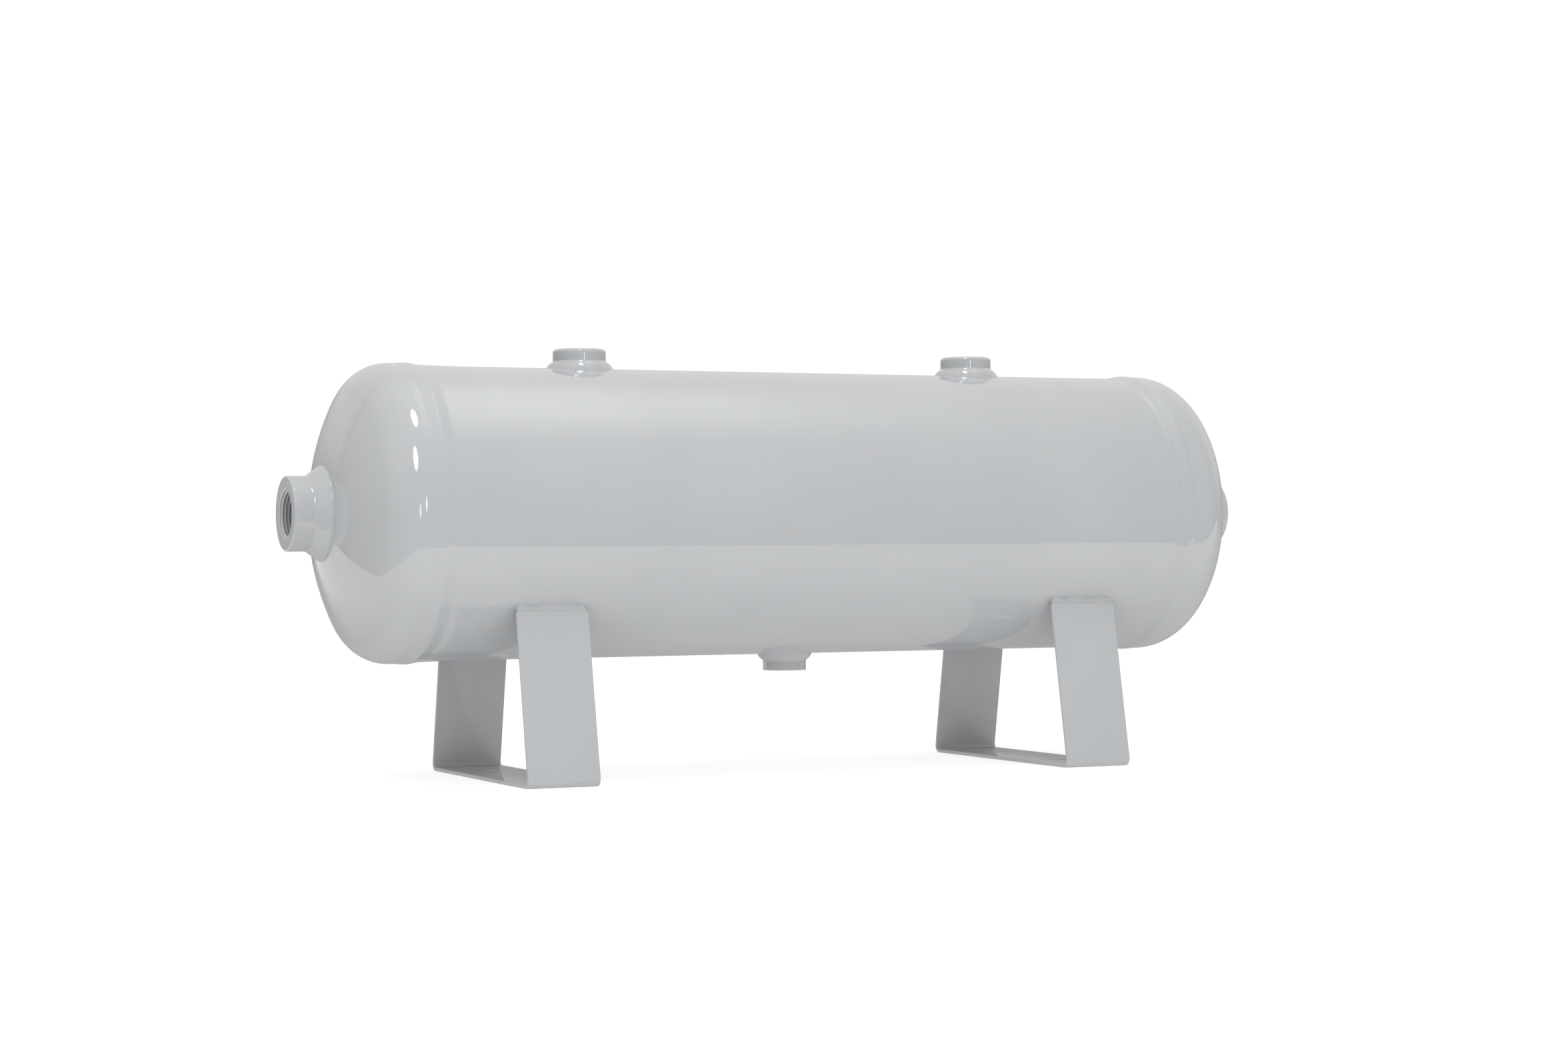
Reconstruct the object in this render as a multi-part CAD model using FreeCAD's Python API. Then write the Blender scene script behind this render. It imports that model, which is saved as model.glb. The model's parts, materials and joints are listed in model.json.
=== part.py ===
import FreeCAD, Part
import math
import os

os.makedirs("parts", exist_ok=True)

# Welded steel air receiver of about 20 litres, lying on two strip feet.
# Frame: X along the tank, +Z up, origin on the floor below the middle of the tank.
# The -X end carries the foot with round holes, the +X end the foot with slots.
# Shapes are drawn with the tank axis on X at height zero and lifted when they are saved.

# Driving dimensions, millimetres
axis_height = 187.0

shell_radius = 103.0
shell_plate = 3.0
shell_half_length = 284.5

head_radius = 104.5
head_plate = 3.0
head_lip_end = 276.0
head_lip_stop = 286.0
head_flange_start = 291.0
head_flange_end = 298.3
knuckle_radius = 31.0
crown_radius = 190.0

girth_toe_on_shell = 280.7
girth_toe_on_head = 292.3
girth_crest = 286.5
girth_crest_radius = 105.4

seam_angle = 30.0
seam_gap = 2.0
seam_cap_width = 7.0
seam_cap_height = 1.0

# BSPP pipe threads: crest and root diameters of the internal thread
g1_minor, g1_major = 30.291, 33.249
g34_minor, g34_major = 24.117, 26.441
g12_minor, g12_major = 18.631, 20.955
mouth_chamfer_extra = 0.35

end_boss_radius = 26.0
end_boss_face = 370.0
end_boss_back = 338.0
end_boss_round = 1.2
end_weld_toe_on_boss = 355.0
end_weld_toe_radius = 33.3

top_boss_radius = 18.85
top_boss_top = 117.0
top_boss_back = 96.5
top_boss_round = 2.4
top_boss_x = 155.0
top_weld_toe_on_boss = 107.8
top_weld_toe_radius = 26.0

drain_boss_radius = 15.8
drain_boss_face = 115.1
drain_boss_back = 98.5
drain_boss_round = 0.6
drain_boss_x = 3.5
drain_weld_toe_on_boss = 107.5
drain_weld_toe_radius = 21.0

saddle_weld_bulge = 1.2
saddle_weld_flare = 1.0

foot_x = 206.6
foot_width = 52.0
foot_plate = 2.5
foot_bend_radius = 5.5
foot_half_base = 107.5
foot_half_top = 84.06
foot_top = -67.7
foot_hole_y = 52.0
foot_hole_diameter = 9.0
foot_slot_length = 22.0
foot_weld_top = -63.3
foot_weld_bulge = 0.5
foot_weld_inset = 1.0

floor = -axis_height
x_axis = FreeCAD.Vector(1, 0, 0)
z_axis = FreeCAD.Vector(0, 0, 1)
origin = FreeCAD.Vector(0, 0, 0)


def save(name, shape):
    """Lift a finished solid to its place above the floor and write it."""
    lifted = shape.copy()
    lifted.translate(FreeCAD.Vector(0, 0, axis_height))
    solids = lifted.Solids
    print(name, "solids", len(solids), "volume", round(lifted.Volume, 1), "valid", lifted.isValid())
    if len(solids) == 1:
        lifted = solids[0]
    lifted.exportStep("parts/" + name + ".step")


def turned_about_z(shape, degrees):
    copy = shape.copy()
    copy.rotate(origin, z_axis, degrees)
    return copy


def line(a, b):
    return Part.makeLine(a, b)


def arc(a, middle, b):
    return Part.Arc(a, middle, b).toShape()


def revolved(edges, axis):
    """Solid of revolution about the X or Z axis from a closed profile."""
    face = Part.Face(Part.Wire(edges))
    solid = face.revolve(origin, axis, 360)
    return solid


def along_x(x, r):
    """Profile point of a part turned about the tank axis."""
    return FreeCAD.Vector(x, 0, r)


def cylinder(radius, low, high):
    return Part.makeCylinder(radius, high - low, FreeCAD.Vector(low, 0, 0), x_axis)


class HeadCurve:
    """Outer or inner surface of a dished head: knuckle arc, then crown arc."""

    def __init__(self, offset):
        self.flange = head_radius - offset
        self.knuckle = knuckle_radius - offset
        self.crown = crown_radius - offset
        self.knuckle_r = head_radius - knuckle_radius
        run = math.sqrt((crown_radius - knuckle_radius) ** 2 - self.knuckle_r ** 2)
        self.crown_x = head_flange_end - run
        self.turn = math.atan2(self.knuckle_r, run)

    def knuckle_point(self, angle):
        x = head_flange_end + self.knuckle * math.cos(angle)
        return along_x(x, self.knuckle_r + self.knuckle * math.sin(angle))

    def crown_point(self, angle):
        return along_x(self.crown_x + self.crown * math.cos(angle), self.crown * math.sin(angle))

    def crown_angle(self, r):
        return math.asin(r / self.crown)

    def knuckle_arc(self):
        middle = (math.pi / 2 + self.turn) / 2
        return arc(self.knuckle_point(math.pi / 2), self.knuckle_point(middle), self.knuckle_point(self.turn))

    def crown_arc(self, r_out, r_in):
        first = self.turn if r_out is None else self.crown_angle(r_out)
        last = self.crown_angle(r_in)
        return arc(self.crown_point(first), self.crown_point((first + last) / 2), self.crown_point(last))


outer_head = HeadCurve(0.0)
inner_head = HeadCurve(head_plate)


def make_head():
    """Dished head whose joggled lip slips inside the shell; the centre hole takes the end boss."""
    lip_r = shell_radius - shell_plate
    joggle = math.atan2(head_radius - lip_r, head_flange_start - head_lip_stop)
    shift = head_plate * math.tan(joggle / 2)
    hole = end_boss_radius
    out_hole = outer_head.crown_point(outer_head.crown_angle(hole))
    in_hole = inner_head.crown_point(inner_head.crown_angle(hole))
    outer = [along_x(head_lip_end, lip_r), along_x(head_lip_stop, lip_r)]
    outer += [along_x(head_flange_start, head_radius), along_x(head_flange_end, head_radius)]
    inner = [along_x(head_flange_end, inner_head.flange), along_x(head_flange_start + shift, inner_head.flange)]
    inner += [along_x(head_lip_stop + shift, lip_r - head_plate), along_x(head_lip_end, lip_r - head_plate)]
    edges = [line(a, b) for a, b in zip(outer, outer[1:])]
    edges += [outer_head.knuckle_arc(), outer_head.crown_arc(None, hole)]
    edges += [line(out_hole, in_hole)]
    edges += [inner_head.crown_arc(None, hole), inner_head.knuckle_arc()]
    edges += [line(a, b) for a, b in zip(inner, inner[1:])]
    edges += [line(inner[-1], outer[0])]
    return revolved(Part.__sortEdges__(edges), x_axis)


def make_girth_weld():
    """Bead that fills the groove between shell end and head, with a rounded cap."""
    lip_r = shell_radius - shell_plate
    toe_shell = along_x(girth_toe_on_shell, shell_radius)
    toe_head = along_x(girth_toe_on_head, head_radius)
    groove = [toe_shell, along_x(shell_half_length, shell_radius), along_x(shell_half_length, lip_r)]
    groove += [along_x(head_lip_stop, lip_r), along_x(head_flange_start, head_radius), toe_head]
    edges = [line(a, b) for a, b in zip(groove, groove[1:])]
    edges += [arc(toe_head, along_x(girth_crest, girth_crest_radius), toe_shell)]
    return revolved(edges, x_axis)


def seam_placed(shape):
    """Turn a shape drawn along +Z to the seam's place on the back of the shell."""
    shape.rotate(origin, x_axis, seam_angle - 90.0)
    return shape


def seam_slit(half_length):
    low = shell_radius - shell_plate - 5.0
    corner = FreeCAD.Vector(-half_length, -seam_gap / 2, low)
    return seam_placed(Part.makeBox(2 * half_length, seam_gap, 20.0, corner))


def port_holes():
    """Cutters for the two top bosses and the drain boss."""
    cutters = []
    for x in (-top_boss_x, top_boss_x):
        cutters.append(Part.makeCylinder(top_boss_radius, 60.0, FreeCAD.Vector(x, 0, 60.0), z_axis))
    cutters.append(Part.makeCylinder(drain_boss_radius, 60.0, FreeCAD.Vector(drain_boss_x, 0, -120.0), z_axis))
    return cutters


def make_shell():
    """Rolled plate, open at its seam, with holes for the bosses."""
    tube = cylinder(shell_radius, -shell_half_length, shell_half_length)
    tube = tube.cut(cylinder(shell_radius - shell_plate, -shell_half_length, shell_half_length))
    tube = tube.cut(seam_slit(shell_half_length + 1.0))
    for cutter in port_holes():
        tube = tube.cut(cutter)
    return tube


def make_seam_weld():
    """Longitudinal bead: the root fills the slit and the cap lies on the plate between the girth beads."""
    root = cylinder(shell_radius, -shell_half_length, shell_half_length)
    root = root.cut(cylinder(shell_radius - shell_plate, -shell_half_length, shell_half_length))
    root = root.common(seam_slit(shell_half_length + 1.0))
    half = seam_cap_width / 2
    base = math.sqrt(shell_radius ** 2 - half ** 2)
    left = FreeCAD.Vector(-girth_toe_on_shell, -half, base)
    right = FreeCAD.Vector(-girth_toe_on_shell, half, base)
    crest = FreeCAD.Vector(-girth_toe_on_shell, 0, shell_radius + seam_cap_height)
    plate = FreeCAD.Vector(-girth_toe_on_shell, 0, shell_radius)
    face = Part.Face(Part.Wire([arc(left, crest, right), arc(right, plate, left)]))
    cap = seam_placed(face.extrude(FreeCAD.Vector(2 * girth_toe_on_shell, 0, 0)))
    return root.fuse(cap).removeSplitter()


def boss_profile(radius, back, face, rounding, minor, major):
    """Turned boss along Z: plain bore at the thread's crest diameter, chamfered mouth, rounded rim."""
    bore = minor / 2
    mouth = major / 2 + mouth_chamfer_extra
    chamfer = mouth - bore

    def point(r, z):
        return FreeCAD.Vector(r, 0, z)

    slant = rounding * (1 - math.sqrt(0.5))
    rim_low = point(radius, face - rounding)
    rim_high = point(radius - rounding, face)
    rim_middle = point(radius - slant, face - slant)
    edges = [line(point(bore, back), point(radius, back)), line(point(radius, back), rim_low)]
    edges += [arc(rim_low, rim_middle, rim_high), line(rim_high, point(mouth, face))]
    edges += [line(point(mouth, face), point(bore, face - chamfer))]
    edges += [line(point(bore, face - chamfer), point(bore, back))]
    return edges


def make_end_boss():
    boss = revolved(
        boss_profile(end_boss_radius, end_boss_back, end_boss_face, end_boss_round, g1_minor, g1_major), z_axis)
    boss.rotate(origin, FreeCAD.Vector(0, 1, 0), 90)
    return boss


def make_top_boss(x):
    boss = revolved(
        boss_profile(top_boss_radius, top_boss_back, top_boss_top, top_boss_round, g34_minor, g34_major), z_axis)
    boss.translate(FreeCAD.Vector(x, 0, 0))
    return boss


def make_drain_boss():
    boss = revolved(
        boss_profile(drain_boss_radius, drain_boss_back, drain_boss_face, drain_boss_round, g12_minor, g12_major),
        z_axis)
    boss.rotate(origin, x_axis, 180)
    boss.translate(FreeCAD.Vector(drain_boss_x, 0, 0))
    return boss


def make_end_boss_weld():
    """Fillet weld between the end boss and the crown of the head."""
    toe = outer_head.crown_point(outer_head.crown_angle(end_weld_toe_radius))
    root = outer_head.crown_point(outer_head.crown_angle(end_boss_radius))
    top = along_x(end_weld_toe_on_boss, end_boss_radius)
    crown = outer_head.crown_arc(end_weld_toe_radius, end_boss_radius)
    return revolved([crown, line(root, top), line(top, toe)], x_axis)


def make_saddle_weld(boss_radius, toe_on_boss, toe_radius):
    """Convex weld ring round a boss on the curved shell, drawn on the +Z side at x = 0."""
    side_toe = toe_radius + saddle_weld_flare
    low = math.sqrt(shell_radius ** 2 - side_toe ** 2) - saddle_weld_flare
    top = FreeCAD.Vector(boss_radius, 0, toe_on_boss)
    toe = FreeCAD.Vector(side_toe, 0, low)
    root = FreeCAD.Vector(boss_radius, 0, low)
    chord = toe - top
    outward = FreeCAD.Vector(-chord.z, 0, chord.x)
    outward.normalize()
    crest = (top + toe) * 0.5 + outward * saddle_weld_bulge
    ring = revolved([arc(top, crest, toe), line(toe, root), line(root, top)], z_axis)
    return ring.cut(cylinder(shell_radius, -60.0, 60.0))


def make_top_boss_weld(x):
    ring = make_saddle_weld(top_boss_radius, top_weld_toe_on_boss, top_weld_toe_radius)
    ring.translate(FreeCAD.Vector(x, 0, 0))
    return ring


def make_drain_boss_weld():
    ring = make_saddle_weld(drain_boss_radius, drain_weld_toe_on_boss, drain_weld_toe_radius)
    ring.rotate(origin, x_axis, 180)
    ring.translate(FreeCAD.Vector(drain_boss_x, 0, 0))
    return ring


class FootLeg:
    """Outline points of one leg of the strip foot, on the +Y side."""

    def __init__(self):
        lean = math.atan2(foot_half_base - foot_half_top, foot_top - floor)
        self.out = (math.cos(lean), math.sin(lean))
        inner_bend = foot_bend_radius - foot_plate
        reach = foot_bend_radius * math.tan((math.pi / 2 + lean) / 2)
        self.bend_y = foot_half_base - reach
        self.bend_z = floor + foot_bend_radius
        self.outer_bend = self.on_bend(foot_bend_radius, lean)
        self.inner_bend = self.on_bend(inner_bend, lean)
        half_turn = (lean - math.pi / 2) / 2
        self.outer_middle = self.on_bend(foot_bend_radius, half_turn)
        self.inner_middle = self.on_bend(inner_bend, half_turn)
        self.top_out = (foot_half_top, foot_top)
        self.top_in = (foot_half_top - foot_plate * self.out[0], foot_top - foot_plate * self.out[1])

    def on_bend(self, radius, angle):
        return (self.bend_y + radius * math.cos(angle), self.bend_z + radius * math.sin(angle))


leg = FootLeg()


def across(point, side=1.0, x=0.0):
    """Point of the foot's outline, given as (y, z), on the +Y or -Y side."""
    return FreeCAD.Vector(x, side * point[0], point[1])


def foot_blank():
    """Bent strip before drilling, centred on x = 0."""
    edges = []
    for side in (1.0, -1.0):
        edges += [line(across((leg.bend_y, floor), side), across((0.0, floor), side))]
        edges += [arc(across((leg.bend_y, floor), side), across(leg.outer_middle, side),
                      across(leg.outer_bend, side))]
        edges += [line(across(leg.outer_bend, side), across(leg.top_out, side))]
        edges += [line(across(leg.top_out, side), across(leg.top_in, side))]
        edges += [line(across(leg.top_in, side), across(leg.inner_bend, side))]
        edges += [arc(across(leg.inner_bend, side), across(leg.inner_middle, side),
                      across((leg.bend_y, floor + foot_plate), side))]
        edges += [line(across((leg.bend_y, floor + foot_plate), side), across((0.0, floor + foot_plate), side))]
    outline = Part.Wire(Part.__sortEdges__(edges))
    strip = Part.Face(outline).extrude(FreeCAD.Vector(foot_width, 0, 0))
    strip.translate(FreeCAD.Vector(-foot_width / 2, 0, 0))
    return strip.removeSplitter()


def hole_cutter(y, length):
    """Round hole, or a slot along X when the length is more than the diameter."""
    radius = foot_hole_diameter / 2
    half = length / 2 - radius
    low = floor - 1.0
    height = foot_plate + 2.0
    cutter = Part.makeCylinder(radius, height, FreeCAD.Vector(-half, y, low), z_axis)
    if half > 0:
        cutter = cutter.fuse(Part.makeCylinder(radius, height, FreeCAD.Vector(half, y, low), z_axis))
        corner = FreeCAD.Vector(-half, y - radius, low)
        cutter = cutter.fuse(Part.makeBox(2 * half, 2 * radius, height, corner)).removeSplitter()
    return cutter


def make_foot(x, opening_length):
    foot = foot_blank()
    for y in (-foot_hole_y, foot_hole_y):
        foot = foot.cut(hole_cutter(y, opening_length))
    foot.translate(FreeCAD.Vector(x, 0, 0))
    return foot


def make_foot_weld(x, side):
    """Bead that joins the end of one leg to the shell."""
    toe_y = math.sqrt(shell_radius ** 2 - foot_weld_top ** 2)
    toe = (toe_y, foot_weld_top)
    reach = math.hypot(*leg.top_in)
    root = (leg.top_in[0] * shell_radius / reach, leg.top_in[1] * shell_radius / reach)
    between = math.hypot(toe[0] + root[0], toe[1] + root[1])
    on_shell = ((toe[0] + root[0]) * shell_radius / between, (toe[1] + root[1]) * shell_radius / between)
    face_y = (leg.top_out[0] + toe[0]) / 2
    face_z = (leg.top_out[1] + toe[1]) / 2
    length = math.hypot(toe[0] - leg.top_out[0], toe[1] - leg.top_out[1])
    bulge_y = foot_weld_bulge * (toe[1] - leg.top_out[1]) / length
    bulge_z = foot_weld_bulge * (leg.top_out[0] - toe[0]) / length
    crest = (face_y + bulge_y, face_z + bulge_z)
    edges = [arc(across(leg.top_out, side), across(crest, side), across(toe, side))]
    edges += [arc(across(toe, side), across(on_shell, side), across(root, side))]
    edges += [line(across(root, side), across(leg.top_in, side))]
    edges += [line(across(leg.top_in, side), across(leg.top_out, side))]
    width = foot_width - 2 * foot_weld_inset
    bead = Part.Face(Part.Wire(edges)).extrude(FreeCAD.Vector(width, 0, 0))
    bead.translate(FreeCAD.Vector(x - width / 2, 0, 0))
    return bead


def main():
    save("shell", make_shell())
    save("seam_weld", make_seam_weld())
    for end, turn in (("left", 180.0), ("right", 0.0)):
        save("head_" + end, turned_about_z(make_head(), turn))
        save("girth_weld_" + end, turned_about_z(make_girth_weld(), turn))
        save("end_boss_" + end, turned_about_z(make_end_boss(), turn))
        save("end_boss_weld_" + end, turned_about_z(make_end_boss_weld(), turn))
    for end, direction, opening in (("left", -1.0, foot_hole_diameter), ("right", 1.0, foot_slot_length)):
        save("top_boss_" + end, make_top_boss(direction * top_boss_x))
        save("top_boss_weld_" + end, make_top_boss_weld(direction * top_boss_x))
        save("foot_" + end, make_foot(direction * foot_x, opening))
        save("foot_weld_" + end + "_front", make_foot_weld(direction * foot_x, -1.0))
        save("foot_weld_" + end + "_back", make_foot_weld(direction * foot_x, 1.0))
    save("drain_boss", make_drain_boss())
    save("drain_boss_weld", make_drain_boss_weld())


main()
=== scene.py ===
import json
import math

import bmesh
import bpy
import numpy as np
from mathutils import Matrix, Vector


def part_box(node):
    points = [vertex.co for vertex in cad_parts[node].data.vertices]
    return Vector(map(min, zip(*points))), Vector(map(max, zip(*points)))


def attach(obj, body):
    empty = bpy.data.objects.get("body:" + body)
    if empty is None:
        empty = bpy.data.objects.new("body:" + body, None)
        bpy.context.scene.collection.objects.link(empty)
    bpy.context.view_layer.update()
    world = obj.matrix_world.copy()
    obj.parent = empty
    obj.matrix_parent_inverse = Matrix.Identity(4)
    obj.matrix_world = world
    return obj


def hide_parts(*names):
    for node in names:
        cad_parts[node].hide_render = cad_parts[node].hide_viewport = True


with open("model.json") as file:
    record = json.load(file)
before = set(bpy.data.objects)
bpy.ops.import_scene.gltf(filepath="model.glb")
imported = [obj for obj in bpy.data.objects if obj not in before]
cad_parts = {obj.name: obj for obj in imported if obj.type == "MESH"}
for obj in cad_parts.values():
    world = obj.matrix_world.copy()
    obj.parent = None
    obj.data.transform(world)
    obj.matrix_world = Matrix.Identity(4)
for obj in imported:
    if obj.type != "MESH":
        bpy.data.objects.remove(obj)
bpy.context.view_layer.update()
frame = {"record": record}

# Welded steel air receiver on two strip feet, painted light grey all over. Metres throughout.
# Each CAD node is stood for by one painted piece with the same place and size: the ports get their
# threads, the welds their beads and toes, and the strip its rounded edges.

MM = 0.001
TURN = 2 * math.pi

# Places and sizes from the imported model
mounts = {m["name"]: m for m in frame["record"]["mounts"]}
shell_low, shell_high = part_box("shell")
axis_z = (shell_low.z + shell_high.z) / 2
shell_r = (shell_high.z - shell_low.z) / 2
shell_half = shell_high.x

head_low, head_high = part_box("head_right")
head_r = head_high.z - axis_z
lip_end = head_low.x

girth_low, girth_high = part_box("girth_weld_right")
girth_toe_shell = girth_low.x
girth_toe_head = girth_high.x

seam_low, seam_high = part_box("seam_weld")
seam_y = (seam_low.y + seam_high.y) / 2
seam_z = (seam_low.z + seam_high.z) / 2 - axis_z
seam_angle = math.atan2(seam_z, seam_y)

# Plate and head shape, as rolled and pressed
plate = 3.0 * MM
seam_gap = 2.0 * MM
lip_stop = 286.0 * MM
flange_start = 291.0 * MM
flange_end = 298.3 * MM
knuckle_r = 31.0 * MM
crown_r = 190.0 * MM

# Parallel pipe threads: root diameter and pitch, the crest diameter is the mount's bore
thread_root = {"end": 33.249 * MM, "top": 26.441 * MM, "drain": 20.955 * MM}
thread_pitch = {"end": 25.4 * MM / 11, "top": 25.4 * MM / 14, "drain": 25.4 * MM / 14}
mouth_extra = 0.35 * MM
rim_round = {"end": 1.2 * MM, "top": 2.4 * MM, "drain": 0.6 * MM}

# Strip feet
strip = 2.5 * MM
bend_r = 5.5 * MM
strip_edge = 0.5 * MM
strip_corner = 1.6 * MM
slot_length = 22.0 * MM

# Fineness of the meshes
sharp_edge = math.radians(32.0)
merge_distance = 1e-7
shell_around = 252
shell_steps = 120
head_around = 252
girth_around = 504
fillet_around = 288
boss_around = 144
hole_points = 120
lamp_around = 48


# ---------------------------------------------------------------- mesh helpers

def mesh_piece(name, verts, faces):
    """A mesh object, smooth but for edges sharper than sharp_edge."""
    mesh = bpy.data.meshes.new(name)
    mesh.from_pydata([tuple(v) for v in verts], [], faces)
    mesh.validate()
    mesh.shade_smooth()
    mesh.set_sharp_from_angle(angle=sharp_edge)
    piece = bpy.data.objects.new(name, mesh)
    bpy.context.scene.collection.objects.link(piece)
    return piece


def bands(rows, count, closed=False):
    """Quads between neighbouring loops of count points. closed joins the last loop to the first."""
    faces = []
    for j in range(rows if closed else rows - 1):
        row, following = j * count, (j + 1) % rows * count
        for i in range(count):
            k = (i + 1) % count
            faces.append((row + i, row + k, following + k, following + i))
    return faces


def turned(name, along, radius, place):
    """A closed surface round the local Z axis.

    along and radius hold one row for each ring and one column for each angle.
    """
    rings, segments = along.shape
    theta = np.arange(segments) * TURN / segments
    local = np.stack([radius * np.cos(theta), radius * np.sin(theta), along], axis=-1).reshape(-1, 3)
    matrix = np.array(place)
    verts = local @ matrix[:3, :3].T + matrix[:3, 3]
    return mesh_piece(name, verts, bands(rings, segments, closed=True))


def spun(profile, segments):
    """Ring arrays for turned() from one closed profile of (along, radius) points."""
    points = np.array(profile, float)
    ones = np.ones(segments)
    return np.outer(points[:, 0], ones), np.outer(points[:, 1], ones)


def arc(centre, radius, first, last, steps):
    """Points of an arc in (along, radius) or (y, z), angles in degrees from the first axis."""
    angles = np.radians(np.linspace(first, last, steps + 1))
    return [(centre[0] + radius * math.cos(a), centre[1] + radius * math.sin(a)) for a in angles]


def straight(a, b, steps):
    """Points from a to b, both included."""
    return [tuple(np.array(a) + (np.array(b) - np.array(a)) * t) for t in np.linspace(0, 1, steps + 1)]


def smooth_curve(points, steps):
    """A Catmull-Rom curve through the points, with the given steps between each two."""
    p = np.array([points[0], *points, points[-1]], float)
    curve = []
    for a, b, c, d in zip(p, p[1:], p[2:], p[3:]):
        for t in np.arange(steps) / steps:
            curve.append(tuple(0.5 * (2 * b + (c - a) * t + (2 * a - 5 * b + 4 * c - d) * t ** 2
                                      + (3 * b - a - 3 * c + d) * t ** 3)))
    curve.append(tuple(p[-1]))
    return curve


def extruded(name, sections, first_half):
    """A solid from cross-sections, each a closed loop of 3D points.

    The two ends are closed in strips: point i of the first half of a loop faces point i from its end.
    """
    stations, points = len(sections), len(sections[0])
    verts = [v for section in sections for v in section]
    faces = bands(stations, points)
    for base, flip in ((0, True), ((stations - 1) * points, False)):
        for i in range(first_half - 1):
            quad = (base + i, base + i + 1, base + points - 2 - i, base + points - 1 - i)
            faces.append(tuple(reversed(quad)) if flip else quad)
    return mesh_piece(name, verts, faces)


def outward(piece):
    """Join points at one place and turn all faces of a closed mesh outwards."""
    bm = bmesh.new()
    bm.from_mesh(piece.data)
    bmesh.ops.remove_doubles(bm, verts=bm.verts, dist=merge_distance)
    bmesh.ops.recalc_face_normals(bm, faces=bm.faces)
    if bm.calc_volume(signed=True) < 0:
        bmesh.ops.reverse_faces(bm, faces=bm.faces)
    bm.to_mesh(piece.data)
    bm.free()
    return piece


def cut(piece, cutters):
    """Cut the cutters out of a piece for good, and remove them."""
    for n, cutter in enumerate(cutters):
        modifier = piece.modifiers.new(f"cut_{n}", "BOOLEAN")
        modifier.operation = "DIFFERENCE"
        modifier.solver = "EXACT"
        modifier.object = cutter
    graph = bpy.context.evaluated_depsgraph_get()
    mesh = bpy.data.meshes.new_from_object(piece.evaluated_get(graph))
    piece.modifiers.clear()
    piece.data = mesh
    mesh.shade_smooth()
    mesh.set_sharp_from_angle(angle=sharp_edge)
    for cutter in cutters:
        bpy.data.objects.remove(cutter)
    return piece


def wander(theta, seed, waves, size):
    """A smooth random function of angle that closes on itself, about as large as size."""
    rng = np.random.default_rng(seed)
    total = np.zeros_like(theta)
    for n in waves:
        total += rng.normal() * np.sin(n * theta + rng.uniform(0, TURN))
    return size * total / math.sqrt(len(waves))


def placed_x(side):
    """Local Z along the tank towards one end: side is -1 for the left end and 1 for the right."""
    return Matrix.Translation((0, 0, axis_z)) @ Matrix.Rotation(side * math.pi / 2, 4, "Y")


def placed_z(x, side):
    """Local Z up (1) or down (-1) through the tank axis at x."""
    flip = Matrix.Identity(4) if side > 0 else Matrix.Rotation(math.pi, 4, "X")
    return Matrix.Translation((x, 0, axis_z)) @ flip


# ---------------------------------------------------------------- paint

def add(tree, kind, **values):
    """A node with its plain properties and unlinked inputs set."""
    node = tree.nodes.new(kind)
    for key, value in values.items():
        if hasattr(node, key):
            setattr(node, key, value)
        else:
            node.inputs[key.replace("_", " ")].default_value = value
    return node


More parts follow.
